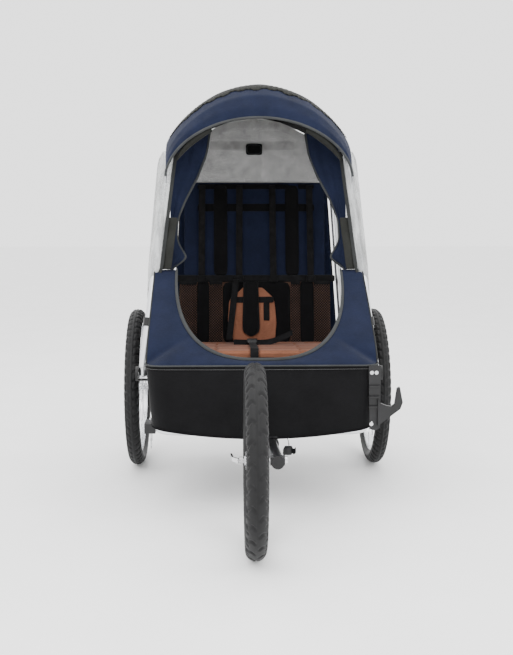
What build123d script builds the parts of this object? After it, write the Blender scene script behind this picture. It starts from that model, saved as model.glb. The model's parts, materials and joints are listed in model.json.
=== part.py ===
"""Two-place, three-wheel trailer-stroller: folding aluminium frame, fabric cabin, jogger wheel on an arm.

Modelled in millimetres, +Z up, front towards -Y. Every part is built about the point on the ground under
the rear axle, then moved forward to the centre of the whole object's footprint.
"""
from build123d import *
from math import cos, pi, sin
import os

# Driving dimensions
REAR_WHEEL_R = 250.0
REAR_TYRE_R = 23.0
REAR_WHEEL_X = 379.0
FRONT_WHEEL_R = 227.5
FRONT_TYRE_R = 25.0
FRONT_WHEEL_X = -29.0
WHEELBASE = 900.0
SPOKES = 28

TUBE_R = 12.0
RAIL_R = 13.0
WALL = 1.6
RAIL_X, RAIL_Z = 333.0, 345.0
FRONT_PIVOT_Y = -345.0
REAR_PIVOT_X, REAR_PIVOT_Y = 298.5, 120.0
PIN_R = 4.0
RUNNING = 0.06               # radial clearance of a turning fit
HOUSING_R = 21.0
SLOT = 2 * TUBE_R + 2.0      # gap in a pivot housing for the tube that swings in it

FRONT_LEAN, REAR_LEAN = 0.198, 0.14      # backward lean of each hoop, mm per mm of height
SHOULDER_Z, SHOULDER_X = 990.0, 256.0
FOOT_Z = RAIL_Z + 17.0       # where a hoop's tube starts, above its lug
FRONT_CROWN_Z, REAR_CROWN_Z = 1148.0, 1104.0

NOSE_Y, NOSE_X = -600.0, 305.0
PANEL_TOP, PANEL_BOTTOM = 404.0, 210.0
PANEL_REAR_Y = -522.0
CORNER_R = 45.0
CLOTH = 3.0
FLOOR_Z = 268.0
TUB_X = 268.0
TUB_BOTTOM, TUB_TOP = 263.0, 380.0
LOWER_RAIL_Z = 226.0
LOWER_RAIL_X = 276.0
REAR_END_Y = 150.0

SEAT_TOP, SEAT_THICK, SEAT_FRONT_Y = 404.0, 34.0, -300.0
BACK_FOOT_Y, BACK_LEAN = 70.0, 0.21
BAND_Z, BACK_TOP_Z = 590.0, 905.0

ARM_X, ARM_R = 23.0, 15.5
HANDLE_PIVOT_Z, HANDLE_Y, HANDLE_Z = 930.0, 428.0, 1050.0
HANDLE_X = 236.0
GRIP_R = 15.5
AXLE_TO_CENTRE = (WHEELBASE + FRONT_WHEEL_R - HANDLE_Y - GRIP_R) / 2


def front_y(z):
    """Y of the front hoop's centre line at height z."""
    return FRONT_PIVOT_Y + (z - RAIL_Z) * FRONT_LEAN


def rear_y(z):
    """Y of the rear hoop's centre line at height z."""
    return REAR_PIVOT_Y + (z - RAIL_Z) * REAR_LEAN


def back_y(z):
    """Y of the backrest's front face at height z."""
    return BACK_FOOT_Y + (z - SEAT_TOP) * BACK_LEAN


def group(shapes):
    """Several shapes as one node of separate solids."""
    return Compound([solid for shape in shapes for solid in shape.solids()])


def both(shape):
    """The shape and its mirror image across the centre plane, as separate solids."""
    return group([shape, mirror(shape, Plane.YZ)])


def block(low, high):
    """Box between two corners."""
    size = [b - a for a, b in zip(low, high)]
    return Pos(*low) * Box(*size, align=(Align.MIN, Align.MIN, Align.MIN))


def rod(start, end, radius, bore=0.0):
    """Straight bar from start to end, hollow where a bore is given."""
    axis = Vector(*end) - Vector(*start)
    place = Plane(origin=start, z_dir=axis)
    ends = (Align.CENTER, Align.CENTER, Align.MIN)
    bar = Cylinder(radius, axis.length, align=ends)
    if bore:
        bar -= Cylinder(bore, axis.length, align=ends)
    return place * bar


def bent_tube(points, radius, bend, wall=WALL):
    """Round tube along straight runs joined by arcs."""
    path = FilletPolyline(*points, radius=bend)
    section = Circle(radius) - Circle(radius - wall)
    return sweep(Plane(origin=path @ 0, z_dir=path % 0) * section, path=path)


def mirrored(points):
    """Half an outline or path, followed by its mirror image in reverse."""
    return points + [(-p[0],) + tuple(p[1:]) for p in reversed(points)]


def band(curve_points, thickness):
    """Closed face in a plane: a polyline thickened towards the inside of its bend."""
    outer = Polyline(*curve_points)
    inner = Polyline(*[(x - thickness if x > 0 else x + thickness, y) for x, y in curve_points])
    return make_face([outer, Line(outer @ 1, inner @ 1), inner, Line(inner @ 0, outer @ 0)])


# ---------------------------------------------------------------- wheels

def tyre(wheel_r, tyre_r):
    """Open-beaded tyre turning about X."""
    ring = wheel_r - tyre_r
    section = Circle(tyre_r) - Circle(tyre_r - 3.5)
    section -= Pos(0, -tyre_r) * Rectangle(26.0, tyre_r)
    return revolve(Pos(0, ring) * section, Axis.X)


def rim(wheel_r, tyre_r):
    """Channel-section rim inside the tyre's beads."""
    seat = wheel_r - 2 * tyre_r + 2.0
    channel = Rectangle(26.0, 14.0) - Pos(0, 4.0) * Rectangle(22.0, 10.0)
    return revolve(Pos(0, seat - 3.0) * channel, Axis.X)


def spoke_set(wheel_r, tyre_r, flange_x, flange_r):
    """Crossed spokes from both hub flanges to the rim."""
    reach = wheel_r - 2 * tyre_r - 8.3
    spokes = []
    for i in range(SPOKES):
        side = 1 if i % 2 else -1
        angle = 2 * pi * i / SPOKES
        root = angle + (0.9 if i % 4 < 2 else -0.9)
        start = (side * (flange_x - 2.5), (flange_r + 1.2) * cos(root), (flange_r + 1.2) * sin(root))
        end = (side * 2.0, reach * cos(angle), reach * sin(angle))
        spokes.append(rod(start, end, 1.0))
    return group(spokes)


def hub(length, flange_x, flange_r, bore_r):
    """Hub barrel with two spoke flanges."""
    body = rod((-length / 2, 0, 0), (length / 2, 0, 0), 11.0)
    for side in (-1, 1):
        body += rod((side * (flange_x - 2), 0, 0), (side * (flange_x + 2), 0, 0), flange_r)
    return body - rod((-length, 0, 0), (length, 0, 0), bore_r)


def wheel_parts(prefix, suffix, place, wheel_r, tyre_r, hub_shape, flange):
    """The four nodes of one wheel, set at its place."""
    return {
        prefix + "_tyre" + suffix: place * tyre(wheel_r, tyre_r),
        prefix + "_rim" + suffix: place * rim(wheel_r, tyre_r),
        prefix + "_spokes" + suffix: place * spoke_set(wheel_r, tyre_r, *flange),
        prefix + "_hub" + suffix: place * hub_shape,
    }


AXLE_STUB_R, FRONT_AXLE_R = 6.0, 5.0
BUTTON_R, STUB_END = 3.5, 402.0


def rear_wheel(side, suffix):
    """One rear wheel, with the release button in its stub axle's end."""
    place = Pos(side * REAR_WHEEL_X, 0, REAR_WHEEL_R)
    barrel = hub(44.0, 17.0, 24.0, AXLE_STUB_R + RUNNING)
    parts = wheel_parts("rear", suffix, place, REAR_WHEEL_R, REAR_TYRE_R, barrel, (17.0, 24.0))
    button_in, button_out = (side * x for x in (STUB_END - 3.5, STUB_END + 2.5))
    parts["wheel_button" + suffix] = rod(
        (button_in, 0, REAR_WHEEL_R), (button_out, 0, REAR_WHEEL_R), BUTTON_R)
    return parts


def axle_stub():
    """Stub axle of a rear wheel, with a collar against the hub and a well for the button."""
    well = rod((STUB_END - 8.0, 0, REAR_WHEEL_R), (STUB_END, 0, REAR_WHEEL_R), BUTTON_R + 0.08)
    stub = rod((300.0, 0, REAR_WHEEL_R), (STUB_END, 0, REAR_WHEEL_R), AXLE_STUB_R) - well
    return stub + rod((347.0, 0, REAR_WHEEL_R), (356.5, 0, REAR_WHEEL_R), 10.0, AXLE_STUB_R)


def front_wheel():
    """The jogger wheel."""
    place = Pos(FRONT_WHEEL_X, -WHEELBASE, FRONT_WHEEL_R)
    barrel = hub(50.0, 19.0, 22.0, FRONT_AXLE_R + RUNNING)
    return wheel_parts("front", "", place, FRONT_WHEEL_R, FRONT_TYRE_R, barrel, (19.0, 22.0))


# ---------------------------------------------------------------- chassis

def side_rail():
    """Upper side rail, carrying both hoop pivots."""
    return rod((RAIL_X, FRONT_PIVOT_Y + HOUSING_R, RAIL_Z), (RAIL_X, REAR_END_Y + 20, RAIL_Z),
               RAIL_R, RAIL_R - WALL)


def pivot_housing(x, y):
    """Forked housing in which a hoop's foot turns, open above and in front."""
    centre = Pos(x, y, RAIL_Z)
    body = rod((-21, 0, 0), (21, 0, 0), HOUSING_R)
    body -= Pos(0, 0, HOUSING_R - 16.0) * Box(SLOT, 3 * HOUSING_R, 2 * HOUSING_R)
    return centre * (body - rod((-30, 0, 0), (30, 0, 0), PIN_R))


def pivot_pin(x, y):
    """Hinge pin, flush with its housing's ends."""
    return Pos(x, y, RAIL_Z) * rod((-21, 0, 0), (21, 0, 0), PIN_R)


def lower_frame():
    """Tube loop under the floor's edge."""
    front, rear = NOSE_Y + 24.0, REAR_END_Y - 10.0
    points = [(0, rear), (LOWER_RAIL_X, rear), (LOWER_RAIL_X, front), (0, front)]
    half = bent_tube([(x, y, LOWER_RAIL_Z) for x, y in points], 10.0, 50.0, 1.5)
    return half + mirror(half, Plane.YZ)


def upright(y):
    """Strut from the lower loop out to the upper side rail."""
    foot = (LOWER_RAIL_X + 17.0, y, LOWER_RAIL_Z + 6.0)
    return rod(foot, (RAIL_X - 6.0, y, RAIL_Z - RAIL_R), 7.0, 5.6)


def axle_tube():
    """Cross tube on which both stub axles sit."""
    return rod((-329.0, 0, REAR_WHEEL_R), (329.0, 0, REAR_WHEEL_R), 12.0, 6.2)


def axle_bracket():
    """Plate hanging the axle tube from the side rail."""
    outline = Polyline((-24, -2), (24, -2), (17, -108), (-17, -108), (-24, -2))
    plate = extrude(Plane.YZ * make_face(outline), 4.0)
    plate = Pos(RAIL_X - RAIL_R - 4.2, 0, RAIL_Z) * plate
    return plate - rod((250, 0, REAR_WHEEL_R), (400, 0, REAR_WHEEL_R), 12.1)


def floor_panel():
    """Stiff floor of the cabin, on the lower loop."""
    return block((-TUB_X + 4, NOSE_Y + 38, FLOOR_Z), (TUB_X - 4, REAR_END_Y - 24, FLOOR_Z + 4))


def tub_side():
    """Low stiffened side wall of the cabin."""
    return block((TUB_X, NOSE_Y + 60, TUB_BOTTOM), (TUB_X + CLOTH, REAR_END_Y - 24, TUB_TOP))


def tub_back():
    """Low rear wall of the cabin."""
    return block((-TUB_X, REAR_END_Y - 22, TUB_BOTTOM), (TUB_X, REAR_END_Y - 19, TUB_TOP))


def front_panel():
    """Black nose panel: round the corners in plan, its lower edge bowed downwards."""
    outer = NOSE_X
    plan = [(outer, PANEL_REAR_Y), (outer, NOSE_Y), (-outer, NOSE_Y), (-outer, PANEL_REAR_Y)]
    path = FilletPolyline(*[(x, y, PANEL_BOTTOM) for x, y in plan], radius=CORNER_R)
    height = PANEL_TOP - PANEL_BOTTOM
    section = Plane(origin=path @ 0, x_dir=(0, 0, 1), z_dir=path % 0)
    wall = sweep(section * Pos(height / 2, 0) * Rectangle(height, CLOTH), path=path)
    dip = ThreePointArc((-330, 238), (0, PANEL_BOTTOM - 4), (330, 238))
    edge = make_face([dip, Polyline((330, 238), (330, 150), (-330, 150), (-330, 238))])
    below = extrude(Plane.XZ * edge, 400, both=True)
    return wall - Pos(0, NOSE_Y + 100, 0) * below


def seat_board():
    """Board that carries the seat cushion."""
    top = SEAT_TOP - SEAT_THICK - 0.5
    return block((-255, SEAT_FRONT_Y + 8, top - 6), (255, BACK_FOOT_Y - 6, top))


def seat_cushion():
    """Padded bench."""
    low = (-252, SEAT_FRONT_Y, SEAT_TOP - SEAT_THICK)
    pad = block(low, (252, BACK_FOOT_Y - 8, SEAT_TOP))
    return fillet(pad.edges().filter_by(Axis.X), 12.0)


def leaning_slab(x0, x1, z0, z1, gap, thick):
    """Flat slab parallel to the backrest's front face; gap is its distance in front of that face."""
    def corner(z, off):
        return (back_y(z) + off, z)
    outline = Polyline(corner(z0, -gap), corner(z1, -gap), corner(z1, -gap - thick),
                       corner(z0, -gap - thick), corner(z0, -gap))
    return Pos(x0, 0, 0) * extrude(Plane.YZ * make_face(outline), x1 - x0)


def backrest_lower():
    """Padded lower backrest."""
    return leaning_slab(-250, 250, SEAT_TOP + 1.0, BAND_Z - 10, -13.0, 13.0)


def backrest_upper():
    """Sling backrest above the waist band."""
    return leaning_slab(-226, 226, BAND_Z + 11, BACK_TOP_Z, -5.0, 5.0)


def waist_band():
    """Stiff band across the backrest."""
    return leaning_slab(-260, 260, BAND_Z - 9, BAND_Z + 10, -8.0, 8.0)


def pocket():
    """Mesh pocket on the lower backrest."""
    return leaning_slab(100, 248, SEAT_TOP + 12, BAND_Z - 12, 1.0, 2.0)


def shoulder_strap(x):
    """Webbing from the waist up the backrest."""
    return leaning_slab(x - 11, x + 11, BAND_Z + 14, BACK_TOP_Z - 6, 1.0, 2.0)


def strap_slider(x):
    """Slider at the foot of a shoulder strap."""
    return leaning_slab(x - 16, x + 16, BAND_Z - 6, BAND_Z + 8, 1.0, 6.0)


def crotch_pad():
    """Padded strap holding the harness buckle."""
    return leaning_slab(CROTCH_X - 26, CROTCH_X + 26, SEAT_TOP + 34, BAND_Z - 14, 1.5, 8.0)


def harness_buckle():
    """Buckle in the middle of the harness."""
    return leaning_slab(CROTCH_X - 17, CROTCH_X + 17, SEAT_TOP + 60, SEAT_TOP + 106, 10.0, 9.0)


# ---------------------------------------------------------------- hoops and handle

def hoop(foot_x, y_at, crown_z, bend):
    """Bent hoop from foot to foot; each foot is a solid lug with a bore for its hinge pin."""
    rise = crown_z - SHOULDER_Z
    half = [(foot_x, FOOT_Z), (SHOULDER_X, SHOULDER_Z),
            (0.70 * SHOULDER_X, SHOULDER_Z + 0.56 * rise), (0.30 * SHOULDER_X, crown_z)]
    points = [(x, y_at(z), z) for x, z in mirrored(half)]
    return bent_tube(points, TUBE_R, bend)


def leg_point(foot_x, y_at, z):
    """Point on a hoop's leg at height z."""
    share = (z - FOOT_Z) / (SHOULDER_Z - FOOT_Z)
    return foot_x + (SHOULDER_X - foot_x) * share, y_at(z), z


def hoop_lug(foot_x, y_at):
    """Plugged foot of a hoop, bored for the hinge pin."""
    lug = rod((foot_x, y_at(RAIL_Z - 6), RAIL_Z - 6), (foot_x, y_at(FOOT_Z - 0.6), FOOT_Z - 0.6), TUBE_R)
    return lug - Pos(foot_x, y_at(RAIL_Z), RAIL_Z) * rod((-30, 0, 0), (30, 0, 0), PIN_R + RUNNING)


def leg_sleeve(foot_x, y_at, z, height, radius):
    """Short sleeve around a hoop's leg, centred at height z."""
    low, high = (leg_point(foot_x, y_at, z + step * height / 2) for step in (-1, 1))
    return rod(low, high, radius, TUBE_R + 0.05)


def hoop_clamp():
    """Plastic clamp on the front hoop's leg."""
    return leg_sleeve(RAIL_X, front_y, 490.0, 24.0, TUBE_R + 4.0)


def handle_mount():
    """Toothed disc on the rear hoop that carries the push handle."""
    y, z = rear_y(HANDLE_PIVOT_Z), HANDLE_PIVOT_Z
    inner = HANDLE_X + 11.5
    disc = rod((inner, y + 34, z), (inner + 9, y + 34, z), 22.0)
    stem = block((inner, y - 8, z - 14), (inner + 9, y + 34, z + 14))
    sleeve = leg_sleeve(REAR_PIVOT_X, rear_y, z, 40.0, TUBE_R + 2.5)
    leg = rod(leg_point(REAR_PIVOT_X, rear_y, z - 60), leg_point(REAR_PIVOT_X, rear_y, z + 45), TUBE_R + 0.05)
    return disc + stem + sleeve - leg - rod((inner - 20, y + 34, z), (inner + 20, y + 34, z), PIN_R)


def handle_pin():
    """Pin on which the push handle turns."""
    y = rear_y(HANDLE_PIVOT_Z) + 34
    return rod((HANDLE_X - 11, y, HANDLE_PIVOT_Z), (HANDLE_X + 19.5, y, HANDLE_PIVOT_Z), PIN_R - 0.02)


def handle_hub():
    """Disc at the end of each handle arm."""
    y = rear_y(HANDLE_PIVOT_Z) + 34
    disc = rod((HANDLE_X - 10, y, HANDLE_PIVOT_Z), (HANDLE_X + 10, y, HANDLE_PIVOT_Z), 20.0)
    return disc - rod((HANDLE_X - 30, y, HANDLE_PIVOT_Z), (HANDLE_X + 30, y, HANDLE_PIVOT_Z), PIN_R + RUNNING)


def handle_tube():
    """U-shaped push handle."""
    y = rear_y(HANDLE_PIVOT_Z) + 34
    start = Vector(HANDLE_X, y, HANDLE_PIVOT_Z)
    reach = Vector(0, HANDLE_Y - y, HANDLE_Z - HANDLE_PIVOT_Z)
    foot = start + reach.normalized() * 20.4
    half = [tuple(foot), (HANDLE_X, HANDLE_Y, HANDLE_Z)]
    return bent_tube(mirrored(half), 11.0, 60.0)


def handle_grip():
    """Foam sleeve on the handle's cross bar."""
    return rod((-150, HANDLE_Y, HANDLE_Z), (150, HANDLE_Y, HANDLE_Z), GRIP_R, 11.02)


# ---------------------------------------------------------------- fabric shell

def arch(half_width, shoulder_z, crown_z, foot_z, y):
    """Thin inverted-U section of the hood at one station along Y."""
    def outline(inset):
        w, crown = half_width - inset, crown_z - inset
        knee = (0.72 * w, shoulder_z + 0.62 * (crown - shoulder_z))
        hip = (0.925 * w, shoulder_z + 0.31 * (crown - shoulder_z))
        side = ThreePointArc((w, shoulder_z), hip, knee)
        top = ThreePointArc(knee, (0, crown), (-knee[0], knee[1]))
        other = ThreePointArc((-knee[0], knee[1]), (-hip[0], hip[1]), (-w, shoulder_z))
        return [Line((w, foot_z), (w, shoulder_z)), side, top, other, Line((-w, shoulder_z), (-w, foot_z))]
    inner = half_width - CLOTH
    feet = [Line((half_width, foot_z), (inner, foot_z)), Line((-half_width, foot_z), (-inner, foot_z))]
    face = make_face(outline(0.0) + outline(CLOTH) + feet)
    return Plane(origin=(0, y, 0), x_dir=(1, 0, 0), z_dir=(0, -1, 0)) * face


def canopy():
    """Hood from the front hoop back to the rear hoop."""
    stations = [arch(274, 1003, 1168, 985, -198), arch(276, 1002, 1168, 985, 0),
                arch(276, 998, 1128, 985, 236)]
    return loft(stations, ruled=True)


def visor():
    """Front of the hood, curving down over the opening."""
    stations = [arch(274, 1003, 1168, 985, -199), arch(271, 985, 1142, 960, -262),
                arch(266, 950, 1066, 925, -322)]
    return loft(stations, ruled=True)


def side_window():
    """Clear side panel from the hood's edge down to the side rail."""
    profile = band([(275.0, 982.0), (308.5, 640.0), (315.0, 402.0)], 1.5)
    sheet = extrude(Plane.XZ * profile, 500, both=True)
    corners = [(front_y(982) + 24, 982), (front_y(402) + 24, 402), (rear_y(402), 402), (rear_y(982), 982)]
    side = extrude(Plane.YZ * make_face(Polyline(*corners, close=True)), 400)
    return sheet & side


def skirt_plane():
    """Plane of the sloping front fabric; its local Y runs up the slope from the nose."""
    rise, run = 228.0, 270.0
    slope = Vector(0, run, rise).normalized()
    return Plane(origin=(0, NOSE_Y + 6, PANEL_TOP + 2), x_dir=(1, 0, 0), z_dir=Vector(1, 0, 0).cross(slope))


def front_skirt():
    """Sloping front fabric around the U-shaped opening."""
    length = 345.0
    outer = Polyline((-300, 2), (300, 2), (286, length), (-286, length), (-300, 2))
    mouth_low, mouth_half = 14.0, 238.0
    notch = make_face([ThreePointArc((-mouth_half, 170), (0, mouth_low), (mouth_half, 170)),
                       Polyline((mouth_half, 170), (252, length + 5), (-252, length + 5), (-mouth_half, 170))])
    return skirt_plane() * extrude(make_face(outer) - notch, CLOTH)


def skirt_side():
    """Triangular gusset between the sloping front and the side window."""
    corners = [(NOSE_Y + 24, PANEL_TOP + 1.5), (front_y(404) - 16, PANEL_TOP + 1.5),
               (front_y(608) - 16, 608), (NOSE_Y + 24, PANEL_TOP + 6)]
    side = extrude(Plane.YZ * make_face(Polyline(*corners, close=True)), CLOTH)
    return Pos(302.0, 0, 0) * side


def pillar_panel():
    """Inner fabric from the front hoop towards the cabin's middle."""
    outline = Polyline((243, 610), (262, 610), (250, 900), (243, 968), (160, 1040), (150, 1000),
                       (190, 900), (228, 800), (240, 700), (243, 610))
    return Pos(0, -192, 0) * extrude(Plane.XZ * make_face(outline), CLOTH)


def rear_mesh():
    """Mesh panel closing the back of the hood, above the backrest."""
    top = 1076.0
    outline = make_face([Polyline((-226, 980), (-214, 912), (214, 912), (226, 980)),
                         ThreePointArc((226, 980), (0, top), (-226, 980))])
    return Pos(0, 206, 0) * extrude(Plane.XZ * outline, 2.0)


def rear_cover():
    """Outer fabric on the back of the cabin, between the rear hoop's legs."""
    outline = Polyline((-272, 402), (272, 402), (238, 906), (-238, 906), (-272, 402))
    sheet = extrude(make_face(outline), 2.0)
    lean = Vector(0, REAR_LEAN, 1.0).normalized()
    place = Plane(origin=(0, rear_y(0) + 1, 0), x_dir=(1, 0, 0), z_dir=Vector(1, 0, 0).cross(lean))
    return place * sheet


# ---------------------------------------------------------------- jogger arm and small parts

def arm_points():
    """The arm's two ends."""
    return (ARM_X, -440.0, 178.0), (ARM_X, -WHEELBASE - 16, FRONT_WHEEL_R - 1.0)


def jogger_arm():
    """One-sided arm with a boss for the wheel's axle."""
    back, front = arm_points()
    centre = Pos(ARM_X, -WHEELBASE, FRONT_WHEEL_R)
    arm = rod(back, front, ARM_R, ARM_R - 2.2) + centre * rod((-17, 0, 0), (17, 0, 0), 12.0)
    return arm - centre * rod((-30, 0, 0), (30, 0, 0), FRONT_AXLE_R)


def arm_cap():
    """Plug in the arm's front end."""
    back, front = arm_points()
    ahead = (Vector(*front) - Vector(*back)).normalized()
    plug = Vector(*front) - ahead * 2.0
    tip = Vector(*front) + ahead * 4.0
    inside = rod(tuple(plug), tuple(front), ARM_R - 2.3)
    return inside + rod(tuple(front), tuple(tip), ARM_R)


def arm_receiver():
    """Socket under the nose that holds the arm."""
    sleeve = rod((ARM_X, -590, 194.3), (ARM_X, -425, 176.4), ARM_R + 5.0)
    sleeve += block((ARM_X - 16, -590, 190), (ARM_X + 16, -562, LOWER_RAIL_Z - 10.5))
    sleeve += block((ARM_X - 16, -462, 176), (ARM_X + 16, -434, LOWER_RAIL_Z - 10.5))
    back, front = arm_points()
    return sleeve - rod(back, front, ARM_R + 0.02) - rod((ARM_X, -400, 173.6), back, 8.0)


def floor_beam():
    """Cross beam under the floor, behind the nose."""
    return rod((-LOWER_RAIL_X + 11, -448, LOWER_RAIL_Z), (LOWER_RAIL_X - 11, -448, LOWER_RAIL_Z), 10.0, 8.5)


def front_axle():
    """Quick-release axle of the jogger wheel."""
    centre = Pos(ARM_X, -WHEELBASE, FRONT_WHEEL_R)
    shaft = centre * rod((-82.0, 0, 0), (17.0, 0, 0), FRONT_AXLE_R - 0.02)
    head = centre * rod((-88.0, 0, 0), (-80.0, 0, 0), 9.0)
    nut = centre * rod((17.1, 0, 0), (23.0, 0, 0), 9.0)
    return shaft + head + nut


def release_lever():
    """Cam lever on the axle's left end."""
    x, z = ARM_X - 92.0, FRONT_WHEEL_R
    eye = rod((x, -WHEELBASE, z - 6), (x, -WHEELBASE, z + 6), 3.4)
    path = FilletPolyline((x, -WHEELBASE + 2, z), (x - 12, -WHEELBASE + 18, z), (x - 15, -WHEELBASE + 52, z),
                          radius=12)
    blade = sweep(Plane(origin=path @ 0, z_dir=path % 0) * Rectangle(4.5, 10), path=path)
    return eye + blade


def safety_strap():
    """Webbing tail beside the arm's socket."""
    outer = Polyline((43.8, 190), (58, 201), (72, 192), (76, 168.2))
    inner = Polyline((43.8, 187), (57, 198), (70, 190), (74, 168.2))
    ends = [Line(outer @ 0, inner @ 0), Line(outer @ 1, inner @ 1)]
    return Pos(0, -500, 0) * extrude(Plane.XZ * make_face([outer, inner] + ends), 10, both=True)


def strap_buckle():
    """Side-release buckle on the safety strap."""
    return block((60, -512, 142), (88, -490, 168))


def bar_holder():
    """Holder for the towing bar, on the nose's right corner: slotted plate, ribs and a hook."""
    plate = make_face(Polyline((276, 404), (308, 404), (308, 240), (296, 232), (280, 236), (276, 404)))
    slots = [(284.0, 386.0), (296.0, 386.0), (284.0, 250.0)]
    for x, z in slots:
        plate -= Pos(x, z) * SlotOverall(14.0, 7.0, rotation=90)
    hook = Polyline((300, 316), (307, 306), (322, 300), (336, 297), (344, 303), (350, 345), (357, 348),
                    (365, 308), (359, 291), (300, 246), (300, 316))
    holder = extrude(Plane.XZ * plate, 5.0) + extrude(Plane.XZ * make_face(hook), 14.0)
    for z in (296.0, 322.0, 350.0):
        holder += extrude(Plane.XZ * Pos(291, z) * Rectangle(28, 4), 12.0)
    return Pos(0, NOSE_Y - 2.0, 0) * holder


def holder_screws():
    """Domed screws in the holder's slots."""
    heads = []
    for x, z in ((284.0, 386.0), (296.0, 386.0), (284.0, 250.0)):
        heads.append(rod((x, NOSE_Y - 7.2, z), (x, NOSE_Y - 9.6, z), 5.0))
    return group(heads)


def hitch_block():
    """Plastic coupling block on the left, where a towing bar is pinned."""
    body = block((-318, -505, 205), (-288, -440, 232))
    return body - rod((-303, -460, 150), (-303, -460, 260), 4.1)


def hitch_pin():
    """Pin in the coupling block, with its spring ring."""
    pin = rod((-303, -460, 176), (-303, -460, 240), 4.0)
    return pin + Pos(-303, -460, 168) * Rot(0, 90, 40) * Torus(14.0, 1.2)


def brake_pedal():
    """Foot pedal of the parking brake, turning about the axle tube."""
    sleeve = rod((-42, 0, REAR_WHEEL_R), (42, 0, REAR_WHEEL_R), 17.0, 12.0 + RUNNING)
    plate = block((-36, 14, REAR_WHEEL_R - 4), (36, 92, REAR_WHEEL_R + 3))
    return sleeve + fillet(plate.edges().filter_by(Axis.Z), 10.0)


def rail_end():
    """Plug in a side rail's rear end."""
    y = REAR_END_Y + 20
    return rod((RAIL_X, y + 0.1, RAIL_Z), (RAIL_X, y + 5, RAIL_Z), RAIL_R)


PIVOTS = ((RAIL_X, FRONT_PIVOT_Y), (REAR_PIVOT_X, REAR_PIVOT_Y))
STRAP_X = (-178.0, -58.0, 58.0, 178.0)
CROTCH_X = -14.0


def all_parts():
    """Every node of the object, by name."""
    parts = {
        "side_rails": both(side_rail()),
        "rail_ends": both(rail_end()),
        "pivot_housings": group([both(pivot_housing(x, y)) for x, y in PIVOTS]),
        "pivot_pins": group([both(pivot_pin(x, y)) for x, y in PIVOTS]),
        "lower_frame": group([lower_frame(), floor_beam()]),
        "uprights": group([both(upright(y)) for y in (-300.0, 70.0)]),
        "axle_tube": axle_tube(),
        "axle_brackets": both(axle_bracket()),
        "axle_stubs": both(axle_stub()),
        "floor_panel": floor_panel(),
        "tub_walls": group([both(tub_side()), tub_back()]),
        "front_panel": front_panel(),
        "seat_board": seat_board(),
        "seat_cushion": seat_cushion(),
        "backrest_lower": backrest_lower(),
        "backrest_upper": backrest_upper(),
        "waist_band": waist_band(),
        "mesh_pockets": both(pocket()),
        "shoulder_straps": group([shoulder_strap(x) for x in STRAP_X]),
        "crotch_pad": crotch_pad(),
        "harness_buckles": group([harness_buckle()] + [strap_slider(x) for x in STRAP_X]),
        "front_hoop": group([hoop(RAIL_X, front_y, FRONT_CROWN_Z, 150.0), both(hoop_lug(RAIL_X, front_y))]),
        "hoop_clamps": both(hoop_clamp()),
        "rear_hoop": group([hoop(REAR_PIVOT_X, rear_y, REAR_CROWN_Z, 84.0),
                            both(hoop_lug(REAR_PIVOT_X, rear_y))]),
        "handle_mounts": group([both(handle_mount()), both(handle_pin())]),
        "handle_hubs": both(handle_hub()),
        "handle_tube": handle_tube(),
        "handle_grip": handle_grip(),
        "canopy": canopy(),
        "visor": visor(),
        "side_windows": both(side_window()),
        "front_skirt": group([front_skirt(), both(skirt_side())]),
        "pillar_panels": both(pillar_panel()),
        "rear_mesh": rear_mesh(),
        "rear_cover": rear_cover(),
        "jogger_arm": jogger_arm(),
        "arm_cap": arm_cap(),
        "arm_receiver": arm_receiver(),
        "front_axle": front_axle(),
        "release_lever": release_lever(),
        "bar_holder": bar_holder(),
        "holder_screws": holder_screws(),
        "hitch_block": hitch_block(),
        "hitch_pin": hitch_pin(),
        "safety_strap": group([safety_strap(), strap_buckle()]),
        "brake_pedal": brake_pedal(),
    }
    parts.update(front_wheel())
    for side, suffix in ((-1, "_left"), (1, "_right")):
        parts.update(rear_wheel(side, suffix))
    return parts


os.makedirs("parts", exist_ok=True)
for name, shape in all_parts().items():
    export_step(Pos(0, AXLE_TO_CENTRE, 0) * shape, "parts/" + name + ".step")
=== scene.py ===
"""Two-place trailer-stroller: cloth, webbing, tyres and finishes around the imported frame."""
import json
from math import cos, pi, radians, sin

import bpy
import numpy as np
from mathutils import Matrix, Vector, noise


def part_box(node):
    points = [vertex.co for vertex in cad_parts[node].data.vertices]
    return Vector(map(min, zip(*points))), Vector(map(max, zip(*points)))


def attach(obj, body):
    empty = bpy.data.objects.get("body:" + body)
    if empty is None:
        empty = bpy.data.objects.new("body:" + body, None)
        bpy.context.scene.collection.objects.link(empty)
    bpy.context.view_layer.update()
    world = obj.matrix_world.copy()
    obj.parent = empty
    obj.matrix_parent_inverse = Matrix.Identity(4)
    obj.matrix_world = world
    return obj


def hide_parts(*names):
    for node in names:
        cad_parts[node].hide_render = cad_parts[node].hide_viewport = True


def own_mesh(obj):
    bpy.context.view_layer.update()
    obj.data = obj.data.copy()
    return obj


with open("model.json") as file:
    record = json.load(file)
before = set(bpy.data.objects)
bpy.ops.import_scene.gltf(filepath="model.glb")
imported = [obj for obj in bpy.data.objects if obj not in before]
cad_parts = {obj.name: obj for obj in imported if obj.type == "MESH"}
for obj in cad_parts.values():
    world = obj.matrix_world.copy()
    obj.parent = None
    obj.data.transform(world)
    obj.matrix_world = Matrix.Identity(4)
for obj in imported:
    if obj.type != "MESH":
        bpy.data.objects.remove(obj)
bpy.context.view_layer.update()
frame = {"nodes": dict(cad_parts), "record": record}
RECORD = frame["record"]
JOINTS = {j["name"]: j for j in RECORD["behaviour"]["joints"]}


def pivot(joint):
    """A joint's place at rest."""
    return Vector(JOINTS[joint]["pos_m"])


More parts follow.
